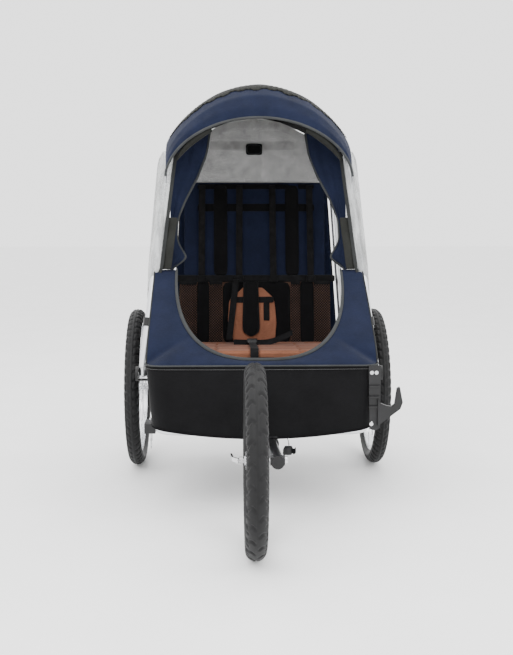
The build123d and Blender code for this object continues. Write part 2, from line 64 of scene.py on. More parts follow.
AXLE = pivot("rear_wheel_left_spin")
AXLE_Y = AXLE.y
FRONT_PIVOT, REAR_PIVOT = pivot("front_hoop_fold"), pivot("frame_fold")
FRONT_HOOP, REAR_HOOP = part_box("front_hoop"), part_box("rear_hoop")
TUBE_R = 0.012
FRONT_LEAN = (FRONT_HOOP[1].y - TUBE_R - FRONT_PIVOT.y) / (FRONT_HOOP[1].z - TUBE_R - FRONT_PIVOT.z)
REAR_LEAN = (REAR_HOOP[1].y - TUBE_R - REAR_PIVOT.y) / (REAR_HOOP[1].z - TUBE_R - REAR_PIVOT.z)
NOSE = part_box("front_panel")
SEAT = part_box("seat_cushion")
BACK_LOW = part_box("backrest_lower")
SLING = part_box("backrest_upper")
BACK_LEAN = 0.21
FOLD_Z = NOSE[1].z                            # the folded cloth lies at this height
LEG_Z, LEG_X = (0.362, 0.990), (0.333, 0.256)  # the front hoop's leg: heights and half-distances
SIDES = ((-1, "left"), (1, "right"))
CLOTH, STRAP = 0.0016, 0.0016                 # thicknesses
PIPING = 0.0022                               # radius


def front_y(z):
    """Y of the front hoop's leg at height z."""
    return FRONT_PIVOT.y + (z - FRONT_PIVOT.z) * FRONT_LEAN


def rear_y(z):
    """Y of the rear hoop's leg at height z."""
    return REAR_PIVOT.y + (z - REAR_PIVOT.z) * REAR_LEAN


def back_y(z):
    """Y of the backrest's front face at height z."""
    return BACK_LOW[0].y + (z - BACK_LOW[0].z) * BACK_LEAN


def leg_x(z):
    """Half-distance between the front hoop's legs at height z."""
    return float(np.interp(z, LEG_Z, LEG_X))


# ---------------------------------------------------------------- node helpers

WAVE_UNIT = 20.0   # radians that a wave texture of scale 1 turns in a metre

def material(name, colour, rough=0.8, metal=0.0, sheen=0.0, alpha=1.0, gloss=0.10):
    """A principled material and the pieces that its pattern is wired to."""
    mat = bpy.data.materials.new(name)
    mat.use_nodes = True
    tree = mat.node_tree
    shader = tree.nodes["Principled BSDF"]
    shader.inputs["Base Color"].default_value = (*colour, 1.0)
    shader.inputs["Roughness"].default_value = rough
    shader.inputs["Metallic"].default_value = metal
    shader.inputs["Sheen Weight"].default_value = sheen
    shader.inputs["Sheen Roughness"].default_value = 0.4
    shader.inputs["Alpha"].default_value = alpha
    shader.inputs["Specular IOR Level"].default_value = gloss
    return mat, tree, shader


def coordinates(tree, scale=(1.0, 1.0, 1.0), turn=(0.0, 0.0, 0.0)):
    """Object coordinates in metres, scaled and turned."""
    source = tree.nodes.new("ShaderNodeTexCoord")
    mapping = tree.nodes.new("ShaderNodeMapping")
    mapping.inputs["Scale"].default_value = scale
    mapping.inputs["Rotation"].default_value = turn
    tree.links.new(source.outputs["Object"], mapping.inputs["Vector"])
    return mapping.outputs["Vector"]


def noise_node(tree, vector, scale, detail=3.0, rough=0.5):
    """Noise value at a scale per metre."""
    node = tree.nodes.new("ShaderNodeTexNoise")
    node.inputs["Scale"].default_value = scale
    node.inputs["Detail"].default_value = detail
    node.inputs["Roughness"].default_value = rough
    tree.links.new(vector, node.inputs["Vector"])
    return node.outputs["Fac"]


def wave_node(tree, vector, scale, direction, distortion=0.0):
    """Regular stripes along one axis, scale of them to the metre."""
    node = tree.nodes.new("ShaderNodeTexWave")
    node.bands_direction = direction
    node.inputs["Scale"].default_value = scale * 2 * pi / WAVE_UNIT
    node.inputs["Distortion"].default_value = distortion
    node.inputs["Detail"].default_value = 1.0
    tree.links.new(vector, node.inputs["Vector"])
    return node.outputs["Fac"]


def maths(tree, operation, a, b=0.5):
    """Arithmetic on a socket and a socket or number."""
    node = tree.nodes.new("ShaderNodeMath")
    node.operation = operation
    for socket, value in zip(node.inputs, (a, b)):
        if isinstance(value, (int, float)):
            socket.default_value = value
        else:
            tree.links.new(value, socket)
    return node.outputs[0]


def ramp(tree, fac, low, high, start=0.3, end=0.7):
    """Colour between low and high as fac goes from start to end."""
    node = tree.nodes.new("ShaderNodeValToRGB")
    node.color_ramp.elements[0].position = start
    node.color_ramp.elements[1].position = end
    node.color_ramp.elements[0].color = (*low, 1.0)
    node.color_ramp.elements[1].color = (*high, 1.0)
    tree.links.new(fac, node.inputs["Fac"])
    return node.outputs["Color"]


def bump(tree, shader, height, strength, distance):
    """Bump from a height socket."""
    node = tree.nodes.new("ShaderNodeBump")
    node.inputs["Strength"].default_value = strength
    node.inputs["Distance"].default_value = distance
    tree.links.new(height, node.inputs["Height"])
    tree.links.new(node.outputs["Normal"], shader.inputs["Normal"])


def shade(colour, factor):
    """A lighter or darker colour."""
    return tuple(min(1.0, c * factor) for c in colour)


def mottled(tree, shader, fac, colour, dark, light, start=0.3, end=0.7):
    """Base colour that goes from dark to light times the colour as fac rises."""
    tint = ramp(tree, fac, shade(colour, dark), shade(colour, light), start, end)
    tree.links.new(tint, shader.inputs["Base Color"])


def weighted(tree, first, first_share, second, second_share):
    """Sum of two sockets, each times its share."""
    return maths(tree, "ADD", maths(tree, "MULTIPLY", first, first_share),
                 maths(tree, "MULTIPLY", second, second_share))


def weave(tree, vector, threads, axes=("X", "Z")):
    """Height of a plain weave with a number of threads per metre."""
    stripes = [wave_node(tree, vector, threads, axis, 0.3) for axis in axes]
    return maths(tree, "MAXIMUM", *stripes)


def cloth(name, colour, threads=900.0, rough=0.85, sheen=0.25, crease=0.25):
    """Woven polyester: fine weave, faint slubs, soft creases and a little dust on the colour."""
    mat, tree, shader = material(name, colour, rough, sheen=sheen)
    vector = coordinates(tree)
    threads_height = weave(tree, vector, threads)
    mottle = noise_node(tree, vector, 14.0, 6.0, 0.6)
    slub = noise_node(tree, coordinates(tree, (1.0, 1.0, 9.0)), 120.0, 2.0)
    mix = weighted(tree, mottle, 0.6, slub, 0.4)
    mottled(tree, shader, mix, colour, 0.72, 1.35)
    creases = noise_node(tree, vector, 22.0, 3.0, 0.45)
    height = weighted(tree, threads_height, 0.10, creases, crease * 4.0)
    bump(tree, shader, height, 0.5, 0.004)
    return mat


def net(name, colour, holes=260.0, share=0.5, turn=(0.0, 0.785, 0.0), rough=0.8):
    """Knitted net: threads crossing on the diagonal, clear between them."""
    mat, tree, shader = material(name, colour, rough, sheen=0.05)
    vector = coordinates(tree, turn=turn)
    across = wave_node(tree, vector, holes, "X")
    along = wave_node(tree, vector, holes, "Z")
    threads = maths(tree, "MAXIMUM", across, along)
    solid = maths(tree, "GREATER_THAN", threads, share)
    mottle = noise_node(tree, vector, 30.0, 4.0)
    mottled(tree, shader, mottle, colour, 0.8, 1.25)
    tree.links.new(solid, shader.inputs["Alpha"])
    bump(tree, shader, threads, 0.5, 0.0008)
    return mat


def film(name, colour):
    """Clear soft plastic with faint upright wrinkles, its colour darker and lighter along them as
    painted shade and highlight.
    """
    mat, tree, shader = material(name, colour, 0.22, alpha=0.42, gloss=0.4)
    vector = coordinates(tree, (1.0, 1.0, 0.16))
    folds = noise_node(tree, vector, 26.0, 4.0, 0.6)
    scuffs = noise_node(tree, coordinates(tree), 60.0, 5.0)
    milky = weighted(tree, folds, 0.55, scuffs, 0.18)
    tree.links.new(maths(tree, "ADD", milky, 0.08), shader.inputs["Alpha"])
    # Colour follows the folds: painted shade in the wrinkles' hollows and painted highlight on their
    # ridges.
    mottled(tree, shader, folds, colour, 0.45, 1.15, 0.38, 0.60)
    bump(tree, shader, folds, 0.7, 0.012)
    return mat


def webbing(name, colour):
    """Ribbed strap."""
    mat, tree, shader = material(name, colour, 0.7, sheen=0.05)
    vector = coordinates(tree)
    ribs = weave(tree, vector, 1100.0, ("Z", "X"))
    wear = noise_node(tree, vector, 50.0, 4.0)
    mottled(tree, shader, wear, colour, 0.7, 1.8)
    bump(tree, shader, ribs, 0.5, 0.0006)
    return mat


def metal(name, colour, rough=0.3, brushed=(1.0, 1.0, 1.0), tint=0.9):
    """Drawn or brushed metal with fine lines and slight smears."""
    mat, tree, shader = material(name, colour, rough, 1.0, gloss=0.5)
    grain = noise_node(tree, coordinates(tree, brushed), 240.0, 3.0)
    smear = noise_node(tree, coordinates(tree), 9.0, 4.0)
    mottled(tree, shader, smear, colour, tint, 1.0)
    value = maths(tree, "ADD", maths(tree, "MULTIPLY", grain, 0.12), rough - 0.06)
    tree.links.new(value, shader.inputs["Roughness"])
    bump(tree, shader, grain, 0.12, 0.0004)
    return mat


def moulded(name, colour, rough=0.5, grain_scale=900.0):
    """Moulded plastic or paint with a fine texture and rubbed high spots."""
    mat, tree, shader = material(name, colour, rough, gloss=0.3)
    vector = coordinates(tree)
    grain = noise_node(tree, vector, grain_scale, 2.0)
    patch = noise_node(tree, vector, 18.0, 5.0)
    mottled(tree, shader, patch, colour, 0.8, 1.6)
    value = maths(tree, "ADD", maths(tree, "MULTIPLY", patch, 0.2), rough - 0.1)
    tree.links.new(value, shader.inputs["Roughness"])
    bump(tree, shader, grain, 0.25, 0.0004)
    return mat


def rubber(name, colour):
    """Tyre rubber, slightly dusty."""
    mat, tree, shader = material(name, colour, 0.62, gloss=0.2)
    vector = coordinates(tree)
    dust = noise_node(tree, vector, 25.0, 6.0, 0.65)
    grain = noise_node(tree, vector, 700.0, 2.0)
    mottled(tree, shader, dust, colour, 0.8, 1.9)
    value = maths(tree, "ADD", maths(tree, "MULTIPLY", dust, 0.3), 0.42)
    tree.links.new(value, shader.inputs["Roughness"])
    bump(tree, shader, grain, 0.3, 0.0005)
    return mat


NAVY = (0.0070, 0.0100, 0.0250)
RUST = (0.200, 0.082, 0.048)
BLACK = (0.0045, 0.0045, 0.0050)
MATS = {
    "silver_tube": metal("silver tube", (0.72, 0.73, 0.75), 0.3),
    "black_tube": moulded("black paint", (0.010, 0.010, 0.011), 0.32),
    "steel": metal("steel", (0.62, 0.62, 0.63), 0.26),
    "black_plastic": moulded("black plastic", (0.008, 0.008, 0.0085), 0.42),
    "button_plastic": moulded("button", (0.20, 0.02, 0.015), 0.35),
    "foam": moulded("foam grip", (0.018, 0.018, 0.018), 0.9, 1500.0),
    "rim_alloy": metal("rim alloy", (0.74, 0.75, 0.77), 0.22),
    "spoke_steel": metal("spoke steel", (0.78, 0.78, 0.8), 0.18),
    "tyre": rubber("tyre rubber", (0.0050, 0.0050, 0.0053)),
    "navy_cloth": cloth("navy cloth", NAVY, sheen=0.06),
    "black_cloth": cloth("black cloth", BLACK, 800.0, 0.9, 0.04, 0.4),
    "grey_mesh": net("grey net", (0.34, 0.34, 0.335), 560.0, 0.08),
    "clear_film": film("clear film", (0.52, 0.53, 0.53)),
    "rust_cloth": cloth("rust cloth", RUST, 700.0, 0.8, 0.1, 0.5),
    "black_mesh": net("black net", (0.006, 0.006, 0.0065), 165.0, 0.81),
    "webbing": webbing("webbing", (0.0045, 0.0045, 0.005)),
}
PIPING_DARK = cloth("dark piping", (0.020, 0.021, 0.021), 1400.0, 0.75, 0.05, 0.05)
PIPING_LIGHT = cloth("grey piping", (0.034, 0.036, 0.037), 1400.0, 0.7, 0.05, 0.05)
LINING = cloth("lining", (0.0040, 0.0040, 0.0045), 800.0, 0.95, 0.03)
ELASTIC = cloth("gathered band", (0.0150, 0.0155, 0.0140), 700.0, 0.85, 0.05, 0.8)
# Darker, duller copy of the rust cloth for the lower back pad: painted shade.
RUST_PAINTED_SHADE = cloth("rust cloth with painted shade", (0.090, 0.050, 0.036), 700.0, 0.85, 0.05, 0.8)
STITCH = cloth("stitching", (0.06, 0.06, 0.06), 1400.0, 0.8, 0.2, 0.05)

for entry in RECORD["subparts"]:
    node = frame["nodes"][entry["node"]]
    node.data.materials.clear()
    node.data.materials.append(MATS[entry["material_slot"]])


# ---------------------------------------------------------------- mesh helpers

def apply(obj):
    """Turns an object's modifiers into its own mesh."""
    bpy.context.view_layer.update()
    graph = bpy.context.evaluated_depsgraph_get()
    made = bpy.data.meshes.new_from_object(obj.evaluated_get(graph))
    obj.modifiers.clear()
    obj.data = made
    return obj


def mesh_object(name, points, faces):
    """A mesh object from points and faces."""
    mesh = bpy.data.meshes.new(name)
    mesh.from_pydata([tuple(p) for p in points], [], faces)
    mesh.shade_smooth()
    obj = bpy.data.objects.new(name, mesh)
    bpy.context.scene.collection.objects.link(obj)
    return obj


def grid(up, across, place):
    """Rows of the points place(share up, share across)."""
    return [[place(i / up, j / across) for j in range(across + 1)] for i in range(up + 1)]


def surface(name, rows, thick, levels=1, inner=None, offset=0.0):
    """Cloth through a grid of points: thickened, smoothed, and lined if inner is given."""
    count = len(rows[0])
    faces = [(i * count + j, i * count + j + 1, (i + 1) * count + j + 1, (i + 1) * count + j)
             for i in range(len(rows) - 1) for j in range(count - 1)]
    obj = mesh_object(name, [p for row in rows for p in row], faces)
    solid = obj.modifiers.new("thickness", "SOLIDIFY")
    solid.thickness = thick
    solid.offset = offset
    if inner:
        solid.material_offset = 1
    if levels:
        obj.modifiers.new("smooth", "SUBSURF").levels = levels
        obj.modifiers["smooth"].render_levels = levels
    return obj


def tube(name, points, radius, cyclic=False, sides=3):
    """Round cord-like trim through points, as a mesh."""
    curve = bpy.data.curves.new(name, "CURVE")
    curve.dimensions = "3D"
    curve.bevel_depth = radius
    curve.bevel_resolution = sides
    curve.resolution_u = 4
    curve.use_fill_caps = not cyclic
    spline = curve.splines.new("NURBS")
    spline.points.add(len(points) - 1)
    for target, p in zip(spline.points, points):
        target.co = (*p, 1.0)
    spline.use_cyclic_u = cyclic
    spline.use_endpoint_u = not cyclic
    spline.order_u = 3
    made = bpy.data.objects.new(name, curve)
    bpy.context.scene.collection.objects.link(made)
    bpy.context.view_layer.update()
    graph = bpy.context.evaluated_depsgraph_get()
    mesh = bpy.data.meshes.new_from_object(made.evaluated_get(graph))
    bpy.data.objects.remove(made)
    obj = bpy.data.objects.new(name, mesh)
    mesh.shade_smooth()
    bpy.context.scene.collection.objects.link(obj)
    return obj


def ribbon(name, path, side, width, thick, levels=1):
    """Flat strap along a path, as wide as width in the direction side."""
    side = Vector(side).normalized() * width / 2
    rows = [[Vector(p) - side, Vector(p) - side * 0.8, Vector(p) + side * 0.8, Vector(p) + side]
            for p in path]
    return surface(name, rows, thick, levels)


def slab(name, x0, x1, z0, z1, y_at, thick, nx=8, nz=8, puff=0.0, levels=1, crown=1.0):
    """Cloth panel over a rectangle of X and Z at the depth y_at(x, z), puffed towards the front."""
    def place(up, across):
        x, z = x0 + (x1 - x0) * across, z0 + (z1 - z0) * up
        swell = puff * (sin(pi * up) * sin(pi * across)) ** crown
        return Vector((x, y_at(x, z) - swell, z))
    return surface(name, grid(nz, nx, place), thick, levels)


def finish(obj, slot, mat=None, body="chassis", nodes=(), inner=None, fold=True):
    """Material (the slot's own if none is given) and body of a piece; hides the nodes it replaces
    and, if fold is set, gives it a mesh of its own.
    """
    obj.data.materials.clear()
    obj.data.materials.append(mat or MATS[slot])
    if inner:
        obj.data.materials.append(inner)
    apply(obj)
    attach(obj, body)
    if nodes:
        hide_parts(*nodes)
    if fold:
        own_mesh(obj)
    return obj


def ruffle(x, y, z, scale, size):
    """Smooth pseudo-random offset of a point, the same on every run."""
    return noise.noise(Vector((x, y, z)) * scale) * size


# ---------------------------------------------------------------- hood

REAR_EDGE, HOOP_LINE = 0.242, -0.205
HOOD = (  # y from the rear axle, half-width, shoulder height, crown height, roundness
    (-0.322, 0.2640, 0.905, 1.068, 0.56),
    (-0.314, 0.2650, 0.925, 1.098, 0.60),
    (-0.290, 0.2665, 0.955, 1.134, 0.70),
    (-0.250, 0.2680, 0.985, 1.161, 0.78),
    (HOOP_LINE, 0.2690, 1.003, 1.177, 0.80),
    (-0.050, 0.2720, 1.003, 1.168, 0.80),
    (0.100, 0.2740, 1.000, 1.152, 0.80),
    (0.200, 0.2740, 0.998, 1.136, 0.80),
    (REAR_EDGE, 0.2720, 0.994, 1.120, 0.80),
)


def hood_point(u, t, lift=0.0):
    """Point on the hood: u from -1 to 1 across it, t from 0 at its front lip to 1 at its rear."""
    spot = t * (len(HOOD) - 1)
    keys = range(len(HOOD))
    y, half, shoulder, crown, power = (float(np.interp(spot, keys, column)) for column in zip(*HOOD))
    x = (half + lift) * sin(u * pi / 2)
    top = max(0.0, 1 - (x / (half + lift)) ** 2) ** power
    z = shoulder + (crown + lift - shoulder) * top
    return Vector((x, y + AXLE_Y, z))


def hood():
    """One continuous sheet from the front lip over both hoops."""
    rows = []
    across, along = 64, 44
    for i in range(along + 1):
        t = i / along
        edge_l, edge_r = hood_point(-1, t), hood_point(1, t)
        drop = Vector((0, 0, -0.022))
        row = [edge_l + drop, edge_l + drop * 0.5]
        for j in range(across + 1):
            u = -1 + 2 * j / across
            p = hood_point(u, t)
            between = max(0.0, sin(pi * (t - 0.5) / 0.42)) if 0.5 < t < 0.92 else 0.0
            p.z -= between * 0.005 * cos(u * pi / 2)
            p.z += ruffle(p.x * 1.5, p.y * 0.6, 0.3, 9.0, 0.003)
            gather = max(0.0, 1 - t / 0.30) * cos(u * pi / 2) ** 0.5
            p.y += gather * ruffle(u * 9.0, 0.5, t * 1.5, 2.4, 0.010)
            row.append(p)
        row += [edge_r + drop * 0.5, edge_r + drop]
        rows.append(row)
    obj = surface("hood", rows, CLOTH, 1, inner=LINING, offset=-1.0)
    finish(obj, "navy_cloth", nodes=("canopy", "visor"), inner=LINING)


def hood_band():
    """Gathered elastic band over the front of the hood, wavy along its lower edge."""
    rows = []
    across = 150
    for i in range(7):
        row = []
        for j in range(across + 1):
            u = -0.80 + 1.60 * j / across
            fade = cos(u / 0.80 * pi / 2) ** 0.5
            wave = 0.012 * sin(j * 0.62) + 0.010 * sin(j * 0.27 + 1.0)
            low = 0.436 - (0.098 + wave) * fade
            t = low + (0.446 - low) * i / 6
            ripple = 0.0016 * sin(j * 1.9 + 0.6 * sin(i)) * (1 - i / 9)
            row.append(hood_point(u, t, 0.0025 + ripple))
        rows.append(row)
    obj = surface("hood_band", rows, 0.0012, 0)
    finish(obj, "navy_cloth", ELASTIC)


def hood_trim():
    """Piping along the lip, over the front hoop and along the rear edge."""
    for name, t, radius, mat, lift in (("hood_lip_piping", 0.0, 0.0038, PIPING_LIGHT, 0.001),
                                       ("hood_rear_piping", 1.0, PIPING, PIPING_DARK, 0.001)):
        points = [hood_point(-1 + 2 * j / 60, t, lift) for j in range(61)]
        finish(tube(name, points, radius), "navy_cloth", mat)


def rolled_cover():
    """Rolled-up weather cover tucked under the hood's lip, one roll at each side."""
    for side, name in SIDES:
        rows = []
        for i in range(25):
            u = side * (0.36 + 0.42 * i / 24)
            centre = hood_point(u, 0.10, -0.016) + Vector((0, 0.010, -0.010))
            radius = 0.0125 * sin(pi * (0.08 + 0.88 * i / 24)) ** 0.4
            row = []
            for a in np.linspace(0, 2 * pi, 17):
                crumple = noise.noise(Vector((i * 0.55, 2 * cos(a), 2 * sin(a) + side)))
                fold_depth = 1 + 0.16 * crumple
                row.append(centre + Vector((0, cos(a), sin(a))) * radius * fold_depth)
            rows.append(row)
        roll = surface("rolled_cover_" + name, rows, 0.0012, 1)
        finish(roll, "black_cloth", ELASTIC)


# ---------------------------------------------------------------- sides

SIDE_Z = (0.402, 0.640, 0.982)
SIDE_X = (0.3135, 0.3065, 0.2745)
LEG_WRAP = ((-0.017, -0.0150), (-0.006, -0.0175), (0.006, -0.0165), (0.016, -0.0080))


def side_x(z):
    """Half-width of the cabin's side at height z."""
    return float(np.interp(z, SIDE_Z, SIDE_X))


def belly(z, share):
    """How far the clear panel bows outwards, share along it from the front hoop to the rear one."""
    rise = min(1.0, max(0.0, z - 0.40) / 0.16) ** 0.6 * min(1.0, max(0.0, 0.986 - z) / 0.030) ** 0.6
    return 0.021 * sin(pi * min(1.0, 0.12 + share * 0.88)) ** 0.5 * rise


def side_windows():
    """Clear wrinkled panels between the hoops, bowed outwards, their front edges round the leg."""
    for side, name in SIDES:
        rows, wrap_edge = [], []
        for i in range(31):
            z = 0.388 + (0.982 - 0.388) * i / 30
            y0, y1 = front_y(z) + 0.006, rear_y(z) + 0.004
            hug = min(1.0, max(0.0, (z - 0.600) / 0.030))
            start = Vector((side * (side_x(z) + belly(z, 0.0)), y0, z))
            row = []
            for dx, dy in LEG_WRAP:
                round_leg = Vector((side * (leg_x(z) + dx), front_y(z) + dy, z))
                row.append(start.lerp(round_leg, hug) + Vector((0, dx * 0.05, 0)))
            for j in range(49):
                s = j / 48
                crease = ruffle(s * 5.5, side * 3.0, z * 0.7, 3.2, 0.009) * sin(pi * s) ** 0.5
                x = side_x(z) + belly(z, s) + crease
                row.append(Vector((side * x, y0 + (y1 - y0) * s, z)))
            rows.append(row)
            if z > 0.62:
                wrap_edge.append(row[0] + Vector((0, -0.0012, 0)))
        obj = surface("side_window_" + name, rows, 0.0007, 0)
        finish(obj, "clear_film", nodes=("side_windows",) if side > 0 else ())
        zip_tape = ribbon("window_zip_" + name, wrap_edge, (1, 0.25 * side, 0), 0.013, 0.0018)
        finish(zip_tape, "navy_cloth", PIPING_DARK)
        path = [Vector((side * (side_x(z) + 0.0030), rear_y(z) + 0.002, z))
                for z in np.linspace(0.404, 0.985, 14)]
        tape = ribbon("window_tape_" + name, path, (0, 1, 0), 0.018, 0.0012)
        finish(tape, "navy_cloth", PIPING_DARK)
        path = [Vector((side * (side_x(0.41) + 0.0030), y, 0.398)) for y in
                np.linspace(front_y(0.41), rear_y(0.41), 8)]
        finish(ribbon("window_hem_" + name, path, (0, 0, 1), 0.018, 0.0012), "navy_cloth", LINING)
        path = [Vector((side * (leg_x(z) - 0.030), front_y(z) - 0.0150 + 0.002 * sin(z * 60), z))
                for z in np.linspace(0.640, 0.790, 10)]
        patch = ribbon("window_patch_" + name, path, (1, 0.2 * side, 0), 0.034, 0.0030)
        finish(patch, "black_cloth", ELASTIC)


def petal_edge(z):
    """Half-distance between the inner edges of the two pillar panels at height z."""
    heights = (0.630, 0.650, 0.668, 0.700, 0.725, 0.783, 0.840, 0.910, 0.975, 1.040)
    widths = (0.258, 0.246, 0.207, 0.228, 0.240, 0.237, 0.214, 0.177, 0.152, 0.142)
    return float(np.interp(z, heights, widths))


def pillar_panels():
    """Cloth panels hanging inside the front hoop, piped along their inner edges."""
    for side, name in SIDES:
        def place(up, s):
            z = 0.630 + (1.040 - 0.630) * up
            outer = min(leg_x(z) - 0.008, hood_limit(z))
            x = outer + (petal_edge(z) - outer) * s
            depth = 0.016 + 0.020 * s + ruffle(s * 2.0 + side, 0.4, z * 2.2, 4.0, 0.012) * s
            return Vector((side * x, front_y(z) + depth, z))
        rows = grid(28, 10, place)
        edge = [row[-1] for row in rows]
        obj = surface("pillar_panel_" + name, rows, 0.0014, 1)
        finish(obj, "navy_cloth", nodes=("pillar_panels",) if side > 0 else ())
        finish(tube("pillar_piping_" + name, edge, 0.0034), "navy_cloth", PIPING_LIGHT)


def hood_limit(z):
    """Half-width under the hood at height z, at the front hoop."""
    _, half, shoulder, crown, power = HOOD[4]
    if z <= shoulder:
        return half - 0.012
    share = min(1.0, (z - shoulder) / (crown - shoulder))
    return (half - 0.016) * (1 - share ** (1 / power)) ** 0.5


# ---------------------------------------------------------------- sloping front and nose

SLOPE_TOP = 0.640
MOUTH_HALF, MOUTH_LOW = 0.238, 0.4145
NOSE_HALF, NOSE_CORNER = 0.306, 0.045
SKIRT_SIDE = 0.24    # share of the sloping front's rim that is one of its sides
SEAM_Z = FOLD_Z - 0.0005
RIM_DIP = 0.0425     # how far the rim runs back round the nose's corner


def slope_y(z):
    """Y of the sloping front at height z."""
    foot, head = NOSE[0].y + 0.004, front_y(SLOPE_TOP) - 0.006
    share = (z - FOLD_Z) / (SLOPE_TOP - FOLD_Z)
    return foot + (head - foot) * share


def mouth(k):
    """Point on the edge of the opening, k from 0 at the top left to 1 at the top right."""
    angle = pi * k
    x = -MOUTH_HALF * (1 if cos(angle) > 0 else -1) * abs(cos(angle)) ** 0.72
    z = SLOPE_TOP - (SLOPE_TOP - MOUTH_LOW) * sin(angle) ** 0.80
    return Vector((x, slope_y(z) + 0.004, z))


def skirt_rim(k):
    """Point on the outer edge of the sloping front, matching mouth(k)."""
    if SKIRT_SIDE < k < 1 - SKIRT_SIDE:
        s = (k - SKIRT_SIDE) / (1 - 2 * SKIRT_SIDE)
        x = NOSE_HALF * (2 * s - 1)
        bend = max(0.0, abs(x) - (NOSE_HALF - NOSE_CORNER))
        y = NOSE[0].y + 0.0015 + NOSE_CORNER - (NOSE_CORNER ** 2 - bend ** 2) ** 0.5
        return Vector((x, y, SEAM_Z))
    side = -1 if k < 0.5 else 1
    share = (k if k < 0.5 else 1 - k) / SKIRT_SIDE
    z = SLOPE_TOP - (SLOPE_TOP - SEAM_Z) * share
    x = NOSE_HALF - 0.006 * (1 - share)
    return Vector((side * x, slope_y(z) + RIM_DIP * share ** 8, z))


def front_skirt():
    """Navy front with its deep U-shaped opening, trimmed in grey."""
    def place(s, k):
        p = skirt_rim(k).lerp(mouth(k), s)
        p.y -= 0.010 * sin(pi * s) * sin(pi * k)
        p.y += ruffle(p.x, p.y, p.z, 7.0, 0.004) * sin(pi * s)
        return p
    obj = surface("front_skirt_cloth", grid(12, 96, place), CLOTH, 1)
    finish(obj, "navy_cloth", nodes=("front_skirt",))
    edge = [mouth(j / 80) + Vector((0, -0.002, 0.001)) for j in range(81)]
    rows = [[p + Vector((p.x * 0.016, -0.0026, -0.0010)), p + Vector((p.x * -0.022, -0.0006, 0.0075))]
            for p in edge]
    binding = surface("mouth_binding", rows, 0.0022, 1)
    finish(binding, "navy_cloth", PIPING_LIGHT)
    for side, name in SIDES:
        def gusset_point(s, back):
            z = SEAM_Z + (SLOPE_TOP - FOLD_Z - 0.002) * s
            start = slope_y(z) + RIM_DIP * (1 - s) ** 8
            y = start + (front_y(z) - 0.0165 - start) * back
            bulge = 0.004 * sin(pi * back) * (1 - s) + ruffle(y, z, side, 9.0, 0.003)
            return Vector((side * (NOSE_HALF - 0.006 * s + bulge), y, z))
        gusset = surface("skirt_gusset_" + name, grid(12, 8, gusset_point), CLOTH, 1)
        finish(gusset, "navy_cloth")
        shares = [SKIRT_SIDE * (1 - i / 20) for i in range(21)]
        edge = [skirt_rim(k if side < 0 else 1 - k) for k in shares]
        finish(tube("skirt_piping_" + name, edge, PIPING), "navy_cloth", PIPING_DARK)


def nose_plan(k, inset=0.0):
    """Point in plan around the nose, k from 0 at the left rear to 1 at the right rear."""
    half, corner = NOSE_HALF - inset, NOSE_CORNER
    front, rear = NOSE[0].y + 0.0015 + inset, NOSE[1].y
    straight, arc, face = rear - front - corner, corner * pi / 2, 2 * (half - corner)
    total = 2 * straight + 2 * arc + face
    d = k * total
    mirror_side = -1
    if d > total / 2:
        d = total - d
        mirror_side = 1
    if d < straight:
        x, y = half, rear - d
    elif d < straight + arc:
        a = (d - straight) / corner
        x, y = half - corner + corner * cos(a), front + corner - corner * sin(a)
    else:
        x, y = half - corner - (d - straight - arc), front
    return mirror_side * x, y


def panel_point(k, s, lift=0.0):
    """Point on the black nose panel; s from its lower edge at 0 to the seam at 1."""
    x, y = nose_plan(k, -lift)
    low = 0.238 - 0.029 * (1 - (x / 0.31) ** 2)
    z = low + (NOSE[1].z - low) * s
    taper = 1 - 0.045 * (1 - s)
    return Vector((x * taper, y + 0.012 * (1 - s) ** 2, z))


def front_panel():
    """Black nose panel with hem, seam piping and stitching."""
    def place(s, k):
        p = panel_point(k, s)
        crease = ruffle(p.x * 0.7, 0.2, p.z * 1.6, 8.0, 0.005)
        p.y -= sin(pi * s) * (0.005 * sin(pi * k) + crease)
        return p
    obj = surface("nose_cloth", grid(16, 110, place), 0.0020, 1)
    finish(obj, "black_cloth", nodes=("front_panel",), fold=False)
    hem = [[panel_point(j / 90, s, 0.0022) for j in range(91)] for s in (0.945, 0.965, 0.985)]
    finish(surface("nose_hem", hem, 0.0018, 1), "black_cloth", LINING, fold=False)
    for name, s, radius, mat in (("nose_seam_piping", 1.0, PIPING, PIPING_LIGHT),
                                 ("nose_hem_stitch", 0.950, 0.0006, STITCH),
                                 ("nose_lower_binding", 0.0, 0.0020, LINING)):
        points = [panel_point(j / 90, s, 0.0036 if radius < 0.001 else 0.002) for j in range(91)]
        finish(tube(name, points, radius), "black_cloth", mat, fold=False)


# ---------------------------------------------------------------- inside the cabin

def on_back(offset):
    """Depth of the backrest at any x and z, offset towards the front."""
    return lambda x, z: back_y(z) - offset


def sling():
    """Navy sling backrest, hanging slack between its straps."""
    def depth(x, z):
        slack = 0.006 * abs(cos(x * 26.0)) + ruffle(x * 1.2, 0.0, z * 0.5, 9.0, 0.006)
        return back_y(z) + 0.004 - slack * 0.6
    obj = slab("sling_back", -0.234, 0.234, 0.598, SLING[1].z + 0.003, depth, 0.0016, 40, 14)
    finish(obj, "navy_cloth", nodes=("backrest_upper",))
    for number, x in enumerate((-0.113, 0.124)):
        strip = slab("back_band_%d" % number, x - 0.023, x + 0.023, 0.600, 0.900, on_back(0.005),
                     0.0014, 3, 8)
        finish(strip, "webbing", LINING)
    for number, (z0, z1) in enumerate(((0.886, 0.903), (0.812, 0.838))):
        strip = slab("back_cross_band_%d" % number, -0.190, 0.200, z0, z1, on_back(0.0012),
                     0.0012, 24, 2)
        finish(strip, "webbing", LINING)


NET_Z = 0.905    # the rear net's lower edge


